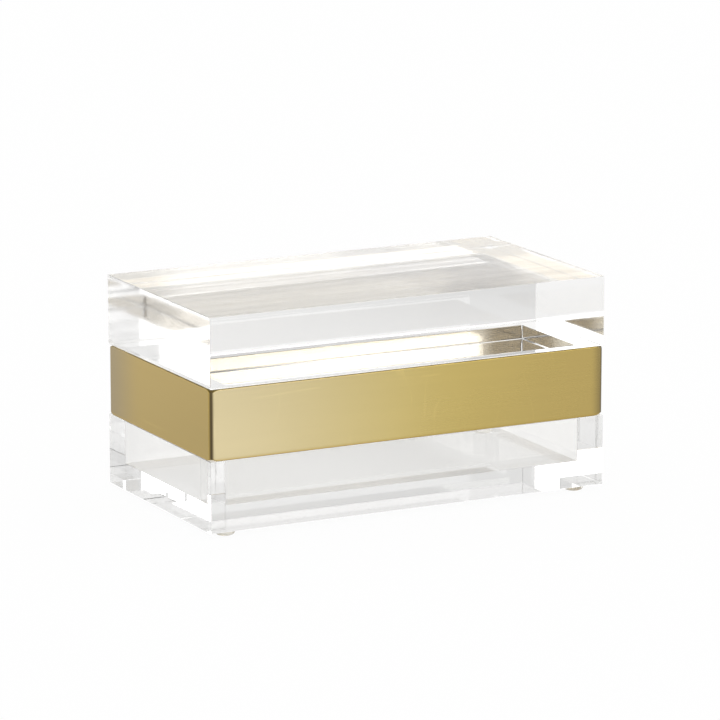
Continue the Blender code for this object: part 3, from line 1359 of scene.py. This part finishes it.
@dataclass
class Studio:
    """The floor with its pools of light, the pale room and its soft panels."""

    floor_reach: float = 3.0
    floor_grey: float = 0.8
    camera_share: float = 0.97
    glass_share: float = 0.85
    glass_level: float = 0.86
    room_level: float = 1.0
    bounces: int = 64
    glass_bounces: int = 48
    clear_bounces: int = 32
    panels: tuple = (
        SoftPanel("bright foot of the wall behind", 28.0, 6.0, 12.0, 5.0, 1.3),
        SoftPanel("wall behind", 28.0, 34.0, 22.8, 0.6, 0.95),
        SoftPanel("dark rail on the wall behind", 28.0, 34.0, 21.95, 0.15, 0.55),
        SoftPanel("dim wall above the rail", 28.0, 34.0, 21.62, 0.2, 0.74),
        SoftPanel("soft box at the back left", 328.0, 15.0, 22.0, 8.0, 1.8),
        SoftPanel("glow below the front right soft box", 151.0, 12.0, 13.0, 7.0, 2.1),
        SoftPanel("soft box at the front right", 151.0, 28.0, 16.5, 0.6, 3.3),
        SoftPanel("shade at the soft box's corner", 158.3, 12.0, 3.6, 0.5, 0.8),
        SoftPanel("side of the camera", 207.0, 12.0, 14.0, 6.0, 1.2),
    )
    pools: tuple = (
        LightPool("back left", (-0.20, 0.50), 0.35, 0.95),
        LightPool("back right", (0.42, 0.48), 0.38, 0.60),
        LightPool("far front right", (0.40, -0.70), 0.45, 0.70),
        LightPool("left", (-0.25, 0.10), 0.15, 0.72),
        LightPool("front left", (-0.08, -0.26), 0.20, 1.25),
        LightPool("under the box", (-0.03, 0.0), 0.12, 0.98),
    )

    def build(self) -> None:
        """Sets up the floor, the world and how often light may bounce in the acrylic."""
        self.floor()
        self.world()
        scene = bpy.context.scene
        scene.view_settings.view_transform = "Standard"
        scene.cycles.max_bounces = self.bounces
        scene.cycles.transmission_bounces = self.glass_bounces
        scene.cycles.glossy_bounces = self.glass_bounces
        scene.cycles.transparent_max_bounces = self.clear_bounces

    def floor(self) -> None:
        """Lays a wide pale floor under the feet."""
        bm = bmesh.new()
        bmesh.ops.create_grid(bm, x_segments=1, y_segments=1, size=self.floor_reach)
        mesh = bpy.data.meshes.new("floor")
        bm.to_mesh(mesh)
        bm.free()
        floor = bpy.data.objects.new("floor", mesh)
        bpy.context.scene.collection.objects.link(floor)
        mesh.materials.append(self.floor_material())

    def floor_material(self) -> bpy.types.Material:
        """Makes the floor matt, and plain white to the camera, while gloss and glass see its pools of light.

        Returns:
            The new material.
        """
        material = bpy.data.materials.new("pale_floor")
        material.use_nodes = True
        wiring = Wiring(material.node_tree)
        material.node_tree.nodes.clear()
        paths = wiring.node("ShaderNodeLightPath")
        grey = (self.floor_grey,) * 3
        matt = wiring.node("ShaderNodeBsdfDiffuse", Color=(*grey, 1))
        pools = wiring.node("ShaderNodeEmission", Color=WHITE, Strength=self.pool_level(wiring))
        white = wiring.node("ShaderNodeEmission", Color=WHITE, Strength=1.0)
        glass = wiring.maths("MAXIMUM", paths.outputs["Is Glossy Ray"], paths.outputs["Is Transmission Ray"])
        lit = wiring.node("ShaderNodeMixShader", Fac=wiring.maths("MULTIPLY", glass, self.glass_share))
        wiring.feed(lit, 1, matt.outputs[0])
        wiring.feed(lit, 2, pools.outputs[0])
        camera = wiring.maths("MULTIPLY", paths.outputs["Is Camera Ray"], self.camera_share)
        seen = wiring.node("ShaderNodeMixShader", Fac=camera)
        wiring.feed(seen, 1, lit.outputs[0])
        wiring.feed(seen, 2, white.outputs[0])
        wiring.node("ShaderNodeOutputMaterial", Surface=seen.outputs[0])
        return material

    def pool_level(self, wiring: Wiring) -> Socket:
        """How light the floor is to gloss and glass at each place.

        Args:
            wiring: The floor material's wiring.

        Returns:
            The level.
        """
        point = wiring.node("ShaderNodeTexCoord").outputs["Object"]
        level = self.glass_level
        for pool in self.pools:
            away = wiring.maths("DISTANCE", point, (*pool.middle, 0.0), "ShaderNodeVectorMath")
            level = wiring.remap(away, 0.0, pool.reach, pool.level, level)
        return level

    def world(self) -> None:
        """A pale room with its soft panels, plain white where the camera sees it."""
        world = bpy.data.worlds.new("studio")
        bpy.context.scene.world = world
        world.use_nodes = True
        wiring = Wiring(world.node_tree)
        world.node_tree.nodes.clear()
        towards = wiring.node("ShaderNodeTexCoord").outputs["Generated"]
        level = self.room_level
        for panel in self.panels:
            middle = direction(panel.bearing, panel.rise)
            nearness = wiring.maths("DOT_PRODUCT", towards, middle, "ShaderNodeVectorMath")
            rim = math.cos(math.radians(panel.reach))
            full = math.cos(math.radians(panel.reach - panel.fade))
            level = wiring.remap(nearness, rim, full, level, panel.level)
        room = wiring.node("ShaderNodeBackground", Color=WHITE, Strength=level)
        white = wiring.node("ShaderNodeBackground", Color=WHITE, Strength=1.0)
        paths = wiring.node("ShaderNodeLightPath")
        mix = wiring.node("ShaderNodeMixShader", Fac=paths.outputs["Is Camera Ray"])
        wiring.feed(mix, 1, room.outputs[0])
        wiring.feed(mix, 2, white.outputs[0])
        wiring.node("ShaderNodeOutputWorld", Surface=mix.outputs[0])


def main() -> None:
    """Builds the box piece by piece, then the studio round it."""
    logging.basicConfig(level=logging.INFO, format="%(message)s")
    Viewpoint().build()
    effects = SurfaceEffects()
    acrylic = AcrylicFinish(effects, Extent.of_nodes("lid_block").low.z).material()
    AcrylicTray().build(acrylic)
    BrassBand().build(effects)
    AcrylicLid().build(acrylic)
    CementWelds().build(WeldFinish(effects))
    BumperFeet().build(BumperFinish(effects))
    Studio().build()


if __name__ == "__main__":
    main()
